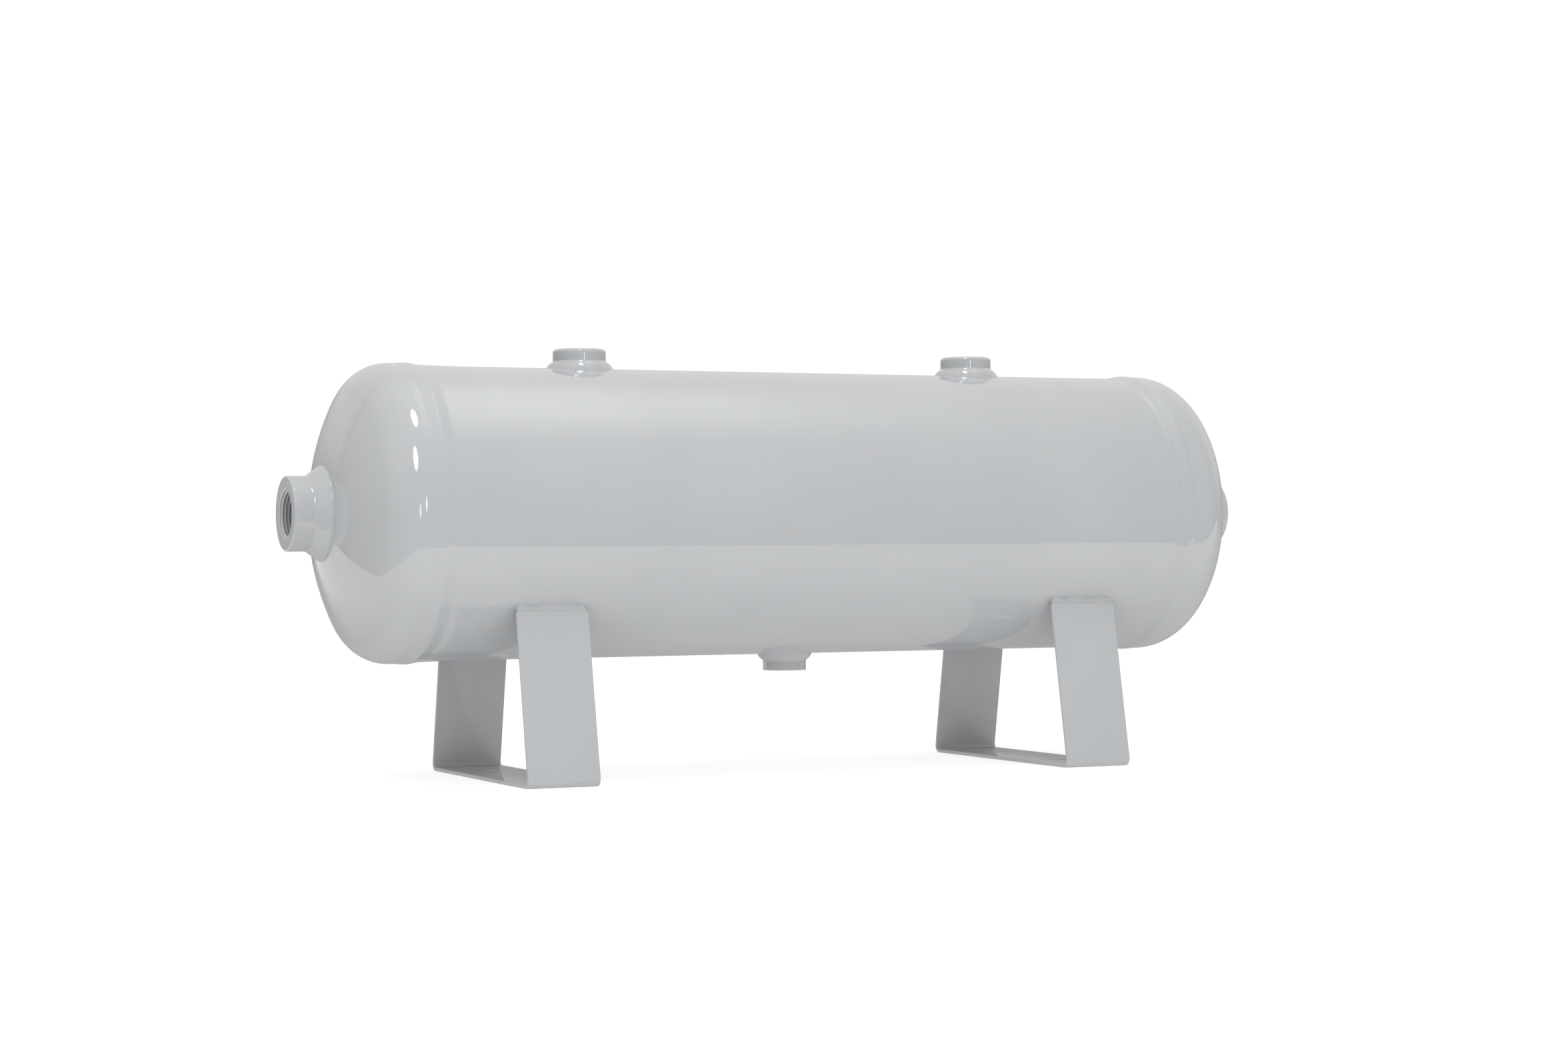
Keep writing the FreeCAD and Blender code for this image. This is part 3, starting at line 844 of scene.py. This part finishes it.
# Brightness by elevation, and which headings count as front or left: 0 at -X, 0.25 at -Y, 0.5 at +X
# and 0.75 at +Y. The ceiling strip lies across the tank, right of its middle.
front_heights = heights((-90, 0.18), (0, 0.12), (20, 0.20), (50, 0.38), (68, 0.78), (90, 0.95))
back_heights = heights((-90, 0.25), (-40, 0.15), (-8, 0.18), (3, 0.24), (15, 0.50), (60, 0.62),
                       (80, 0.90), (90, 0.95))
left_heights = heights((-90, 0.18), (0, 0.13), (12, 0.30), (30, 0.55), (60, 0.72), (90, 0.95))
left_headings = [(0.0, 1.0), (0.06, 1.0), (0.20, 0.0), (0.84, 0.0), (0.86, 1.0), (1.0, 1.0)]
ceiling_lengths = [(0.62, 0.0), (0.65, 0.60), (0.69, 0.60), (0.73, 0.0)]
ceiling_heights = heights((52, 0.0), (72, 1.0), (90, 1.0))
front_headings = [(0.0, 1.0), (0.47, 1.0), (0.53, 0.0), (0.84, 0.0), (0.855, 1.0), (1.0, 1.0)]


def make_room():
    """A far dome that only reflections see."""
    room_radius = 20.0
    bm = bmesh.new()
    bmesh.ops.create_icosphere(bm, subdivisions=5, radius=room_radius)
    mesh = bpy.data.meshes.new("studio_room")
    bm.to_mesh(mesh)
    bm.free()
    card = emitter("studio_room", mesh, room_tone, True)
    card.location = (0, 0, axis_z)


def floor_glow(tree, glow):
    """Lit floor as the paint mirrors it: bright in front and at the left, and darker from the tank on, a
    painted shade under and behind the tank.
    """
    place = add(tree, "ShaderNodeTexCoord")
    split = add(tree, "ShaderNodeSeparateXYZ")
    tree.links.new(place.outputs["Object"], split.inputs[0])
    back = spread(tree, split.outputs["Y"], -0.5, 0.5)
    # painted shade of the tank: the mirrored glow drops from just in front of the tank to under and behind
    # it
    lit = ramp(tree, back, [(0.0, 1.0), (0.24, 1.0), (0.40, 0.52), (0.60, 0.38), (1.0, 0.35)])
    left = spread(tree, split.outputs["X"], -1.0, 0.0)
    both = add(tree, "ShaderNodeMix", data_type="RGBA")
    clear = ramp(tree, left, [(0.0, 1.0), (0.42, 1.0), (0.60, 0.0), (1.0, 0.0)])
    tree.links.new(clear, both.inputs["Factor"])
    tree.links.new(lit, both.inputs["A"])
    both.inputs["B"].default_value = (0.86, 0.86, 0.86, 1)
    tree.links.new(both.outputs["Result"], glow.inputs["Color"])
    glow.inputs["Strength"].default_value = 1.18


def make_mirrored_floor():
    """Lit part of the floor, seen by reflections only. Beyond its near edge the studio is dark."""
    edge = [(3.2, -0.45), (3.2, 4.0), (-3.6, 4.0), (-1.5, 1.65), (-0.85, 0.36), (-0.55, -0.21),
            (-0.40, -0.42)]
    above_floor = 0.0004
    mesh = bpy.data.meshes.new("mirrored_floor")
    mesh.from_pydata([(x, y, above_floor) for x, y in edge], [], [tuple(range(len(edge)))])
    emitter("mirrored_floor", mesh, floor_glow, True)


def make_lamp(name, heading, elevation, distance, width, height, radiance, mirrored):
    """A small soft oval lamp, seen from the tank at a heading from -Y towards +X and an elevation.

    Angles are in degrees. A lamp that isn't mirrored only lights the tank.
    """
    h, e = math.radians(heading), math.radians(elevation)
    away = Vector((math.sin(h) * math.cos(e), -math.cos(h) * math.cos(e), math.sin(e)))
    centre = Vector((0, 0, axis_z)) + away * distance
    turn = (-away).to_track_quat("Z", "Y")
    angles = np.linspace(0, TURN, lamp_around + 1)[:-1]
    ring = [(width / 2 * math.cos(a), height / 2 * math.sin(a)) for a in angles]
    verts = [Vector((0, 0, 0))] + [Vector((a, b, 0)) for a, b in ring]
    faces = [(0, i, i % lamp_around + 1) for i in range(1, lamp_around + 1)]

    def soft_edged(tree, glow):
        spot = add(tree, "ShaderNodeTexCoord")
        size = add(tree, "ShaderNodeMapping")
        size.inputs["Scale"].default_value = (2 / width, 2 / height, 1)
        out = add(tree, "ShaderNodeVectorMath", operation="LENGTH")
        tree.links.new(spot.outputs["Object"], size.inputs["Vector"])
        tree.links.new(size.outputs["Vector"], out.inputs[0])
        fade = ramp(tree, out.outputs["Value"], [(0.0, 1.0), (0.6, 1.0), (0.85, 0.45), (1.0, 0.0)])
        tree.links.new(fade, glow.inputs["Color"])
        glow.inputs["Strength"].default_value = radiance

    mesh = bpy.data.meshes.new(name)
    mesh.from_pydata(verts, [], faces)
    lamp = emitter(name, mesh, soft_edged, False)
    lamp.matrix_world = Matrix.Translation(centre) @ turn.to_matrix().to_4x4()
    lamp.visible_glossy = mirrored


def make_floor():
    """Pale matt floor with a glow of its own. It lies a hair below the feet, so that no faces coincide."""
    size = 14.0
    corners = [(-size, -size, 0), (size, -size, 0), (size, size, 0), (-size, size, 0)]
    mesh = bpy.data.meshes.new("floor")
    mesh.from_pydata(corners, [], [(0, 1, 2, 3)])
    floor = bpy.data.objects.new("floor", mesh)
    bpy.context.scene.collection.objects.link(floor)
    material = bpy.data.materials.new("pale_floor")
    material.use_nodes = True
    tree = material.node_tree
    shader = tree.nodes["Principled BSDF"]
    shader.inputs["Roughness"].default_value = 0.9
    shader.inputs["Specular IOR Level"].default_value = 0.0
    place = add(tree, "ShaderNodeTexCoord")
    clouds = add(tree, "ShaderNodeTexNoise", Scale=3.0, Detail=2.0)
    tone = add(tree, "ShaderNodeValToRGB")
    tone.color_ramp.elements[0].color = (0.40, 0.40, 0.40, 1)
    tone.color_ramp.elements[1].color = (0.42, 0.42, 0.42, 1)
    tree.links.new(place.outputs["Object"], clouds.inputs["Vector"])
    tree.links.new(clouds.outputs["Fac"], tone.inputs["Fac"])
    tree.links.new(tone.outputs["Color"], shader.inputs["Base Color"])
    # Painted light: the floor glows, brightest in front of the tank and dimmer under and behind it, lighting
    # the tank from below and washing out the floor's contact shadows.
    split = add(tree, "ShaderNodeSeparateXYZ")
    tree.links.new(place.outputs["Object"], split.inputs[0])
    back = spread(tree, split.outputs["Y"], -0.5, 0.5)
    lift = ramp(tree, back, [(0.0, 1.0), (0.30, 1.0), (0.46, 0.80), (1.0, 0.85)])
    tree.links.new(lift, shader.inputs["Emission Color"])
    shader.inputs["Emission Strength"].default_value = 0.85
    mesh.materials.append(material)
    floor.visible_glossy = False
    floor.location.z = -0.05 * MM


def make_world():
    """White studio, brightest overhead, and dimmer towards the left and down along a tilted axis."""
    world = bpy.data.worlds.new("studio")
    bpy.context.scene.world = world
    world.use_nodes = True
    tree = world.node_tree
    background = tree.nodes["Background"]
    place = add(tree, "ShaderNodeTexCoord")
    split = add(tree, "ShaderNodeSeparateXYZ")
    tree.links.new(place.outputs["Generated"], split.inputs[0])
    upward = spread(tree, split.outputs["Z"], -1.0, 1.0)
    height = ramp(tree, upward, [(0.0, 0.77), (0.60, 0.77), (0.80, 0.63), (0.90, 0.82), (1.0, 1.0)])
    tilted = add(tree, "ShaderNodeVectorMath", operation="DOT_PRODUCT")
    tree.links.new(place.outputs["Generated"], tilted.inputs[0])
    tilted.inputs[1].default_value = (0.89, 0.0, 0.45)
    side = spread(tree, tilted.outputs["Value"], -1.0, 1.0)
    across = ramp(tree, side, [(0.0, 0.52), (0.10, 0.60), (0.30, 0.80), (0.45, 0.90), (0.56, 1.0)])
    both = combined(tree, height, across, "MULTIPLY")
    tree.links.new(both, background.inputs["Color"])
    background.inputs["Strength"].default_value = 1.33


def make_camera():
    """Long-lens view from the front left, nearly level with the tank."""
    target = Vector((0.0034, -0.0014, axis_z - 0.0069))
    distance = 2.2477
    heading, pitch, roll = (math.radians(v) for v in (24.031, 0.638, -0.434))
    flat = math.cos(pitch)
    forward = Vector((math.sin(heading) * flat, math.cos(heading) * flat, math.sin(pitch)))
    level = Vector((math.cos(heading), -math.sin(heading), 0))
    upright = level.cross(forward)
    right = level * math.cos(roll) + upright * math.sin(roll)
    up = right.cross(forward)
    data = bpy.data.cameras.new("camera")
    data.sensor_width = 36.0
    data.lens = 70.31
    camera = bpy.data.objects.new("camera", data)
    camera.matrix_world = Matrix.Translation(target - forward * distance) @ Matrix((
        (right.x, up.x, -forward.x), (right.y, up.y, -forward.y), (right.z, up.z, -forward.z))).to_4x4()
    bpy.context.scene.collection.objects.link(camera)
    bpy.context.scene.camera = camera


# Lamps: name, heading, elevation, distance, width, height, radiance, and whether the paint mirrors it
lamps = (
    ("lamp_high", -14, 73, 2.5, 0.60, 0.82, 14.5, True),
    ("lamp_side", -24, 38, 2.5, 0.50, 0.92, 14.0, True),
    ("lamp_low_left", -17, 1, 2.5, 0.16, 0.55, 8.0, True),
    ("lamp_low_right", -2, 6, 2.5, 0.16, 0.55, 10.0, True),
    ("lamp_fill", -62, 6, 1.25, 0.60, 0.60, 1.9, False),
)


def main():
    """Build the tank, end by end, and then the studio round it."""
    make_shell()
    make_seam_weld()
    for end, side in (("left", -1), ("right", 1)):
        make_head(end, side)
        make_girth_weld(end, side)
        port = end_port(end, side)
        make_boss(port)
        make_end_boss_weld(end, side, port)
        port = wall_port("top_boss_" + end, "top", 1)
        make_boss(port)
        make_saddle_weld("top_boss_weld_" + end, port, 31 + side)
        make_foot(end, side)
        make_foot_weld(end, -1, 41 + side)
        make_foot_weld(end, 1, 51 + side)
    port = wall_port("drain_boss", "drain", -1)
    make_boss(port)
    make_saddle_weld("drain_boss_weld", port, 61)
    make_world()
    make_room()
    make_mirrored_floor()
    for lamp in lamps:
        make_lamp(*lamp)
    make_floor()
    make_camera()
    bpy.context.scene.view_settings.view_transform = "Standard"


main()
